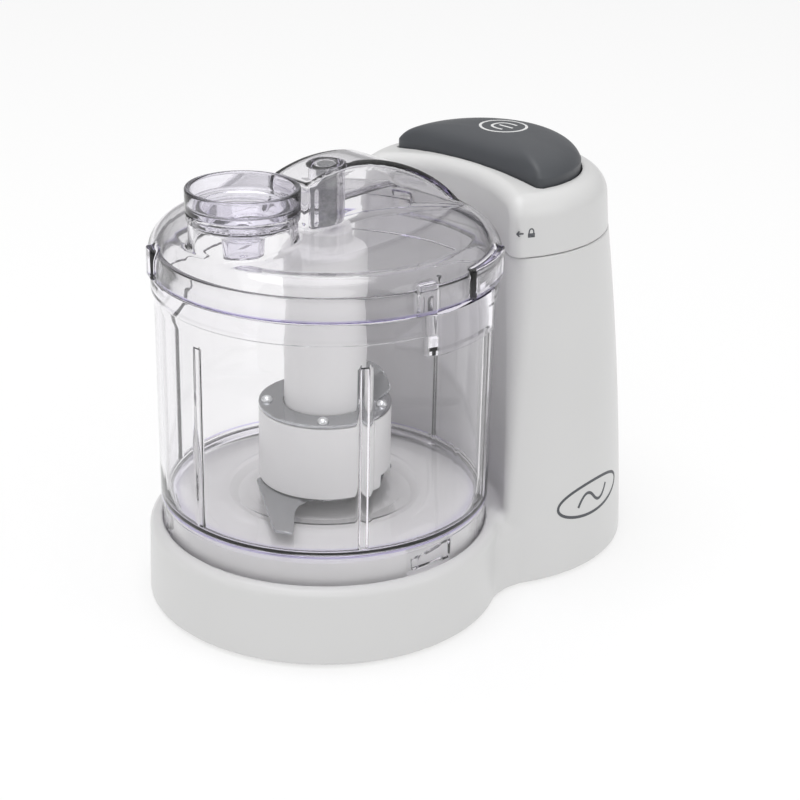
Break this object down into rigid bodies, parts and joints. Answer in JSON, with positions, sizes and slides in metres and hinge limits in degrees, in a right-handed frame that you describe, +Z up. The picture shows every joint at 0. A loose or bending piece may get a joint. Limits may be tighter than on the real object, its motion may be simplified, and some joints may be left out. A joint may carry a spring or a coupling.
{
  "type": "food processor",
  "caption": "Mini food processor: clear round bowl and lid on a low dish base, motor tower with a dark press button.",
  "frame": {"origin": "centre of the overall footprint, on the surface that the four feet stand on", "axes": "+X from the bowl towards the motor tower, +Z up; the bowl's axis is vertical at X = -37 mm, Y = 0"},
  "size_m": [0.2, 0.126, 0.1592],
  "materials": {
    "white_plastic": "satin",
    "inner_plastic": "matte",
    "clear_plastic": "clear, polished",
    "dark_plastic": "satin",
    "black_plastic": "matte",
    "rubber": "matte",
    "steel": "brushed",
    "motor_steel": "plain",
    "bronze": "sintered",
    "board": "lacquered"
  },
  "bodies": {
    "base": {"base_housing": "white_plastic", "tower_cap": "white_plastic", "bottom_cover": "inner_plastic", "foot_1": "rubber", "foot_2": "rubber", "foot_3": "rubber", "foot_4": "rubber", "bottom_screw_1": "steel", "bottom_screw_2": "steel", "bottom_screw_3": "steel", "bottom_screw_4": "steel", "cord_gland": "rubber", "motor_can": "motor_steel", "motor_end_cap": "black_plastic", "motor_bracket": "steel", "drive_belt": "rubber", "spindle_bush_lower": "bronze", "spindle_bush_upper": "bronze", "circuit_board": "board", "switch_carrier": "inner_plastic", "micro_switch": "black_plastic", "button_spring_1": "steel", "button_spring_2": "steel", "interlock_bracket": "inner_plastic"},
    "rotor": {"motor_shaft": "steel", "motor_armature": "motor_steel", "motor_fan": "black_plastic", "motor_pulley": "steel"},
    "spindle": {"drive_spindle": "steel", "spindle_pulley": "black_plastic", "drive_coupling": "black_plastic"},
    "button": {"power_button": "dark_plastic"},
    "plunger": {"switch_plunger": "inner_plastic"},
    "interlock": {"interlock_pin": "inner_plastic", "interlock_spring": "steel"},
    "bowl": {"bowl": "clear_plastic"},
    "lid_pin": {"lid_bearing_pin": "motor_steel"},
    "lid": {"lid": "clear_plastic"},
    "pusher": {"food_pusher": "clear_plastic"},
    "blade": {"blade_column": "white_plastic", "blade_hub": "white_plastic", "upper_blade": "steel", "lower_blade": "steel", "blade_rivet_1": "steel", "blade_rivet_2": "steel", "blade_rivet_3": "steel", "blade_rivet_4": "steel"}
  },
  "joints": [
    {"name": "motor_spin", "type": "hinge", "parent": "base", "child": "rotor", "pos_m": [0.06, 0, 0.06], "axis": [0, 0, 1], "continuous": true},
    {"name": "spindle_spin", "type": "hinge", "parent": "base", "child": "spindle", "pos_m": [-0.037, 0, 0.04], "axis": [0, 0, 1], "continuous": true},
    {"name": "blade_spin", "type": "hinge", "parent": "bowl", "child": "blade", "pos_m": [-0.037, 0, 0.06], "axis": [0, 0, 1], "continuous": true},
    {"name": "bowl_lift", "type": "slide", "parent": "base", "child": "bowl", "axis": [0, 0, 1], "range_m": [0, 0.08]},
    {"name": "lid_lift", "type": "slide", "parent": "bowl", "child": "lid_pin", "axis": [0, 0, 1], "range_m": [0, 0.06]},
    {"name": "lid_turn", "type": "hinge", "parent": "lid_pin", "child": "lid", "pos_m": [-0.037, 0, 0.14], "axis": [0, 0, 1], "range_deg": [0, 22]},
    {"name": "pusher_slide", "type": "slide", "parent": "lid", "child": "pusher", "axis": [0, 0, 1], "range_m": [0, 0.04]},
    {"name": "button_press", "type": "slide", "parent": "base", "child": "button", "axis": [0, 0, -1], "range_m": [0, 0.0035], "stiffness_N_per_m": 900, "springref_m": -0.003, "deforming": ["button_spring_1", "button_spring_2"]},
    {"name": "plunger_press", "type": "slide", "parent": "base", "child": "plunger", "axis": [0, 0, -1], "range_m": [0, 0.0035]},
    {"name": "interlock_press", "type": "slide", "parent": "base", "child": "interlock", "axis": [0.9426, 0.3338, 0], "range_m": [0, 0.002], "stiffness_N_per_m": 300, "springref_m": -0.003}
  ],
  "couplings": [
    {"joint": "spindle_spin", "follows": "motor_spin", "ratio": 0.26415},
    {"joint": "blade_spin", "follows": "motor_spin", "ratio": 0.26415},
    {"joint": "plunger_press", "follows": "button_press", "ratio": 1}
  ]
}
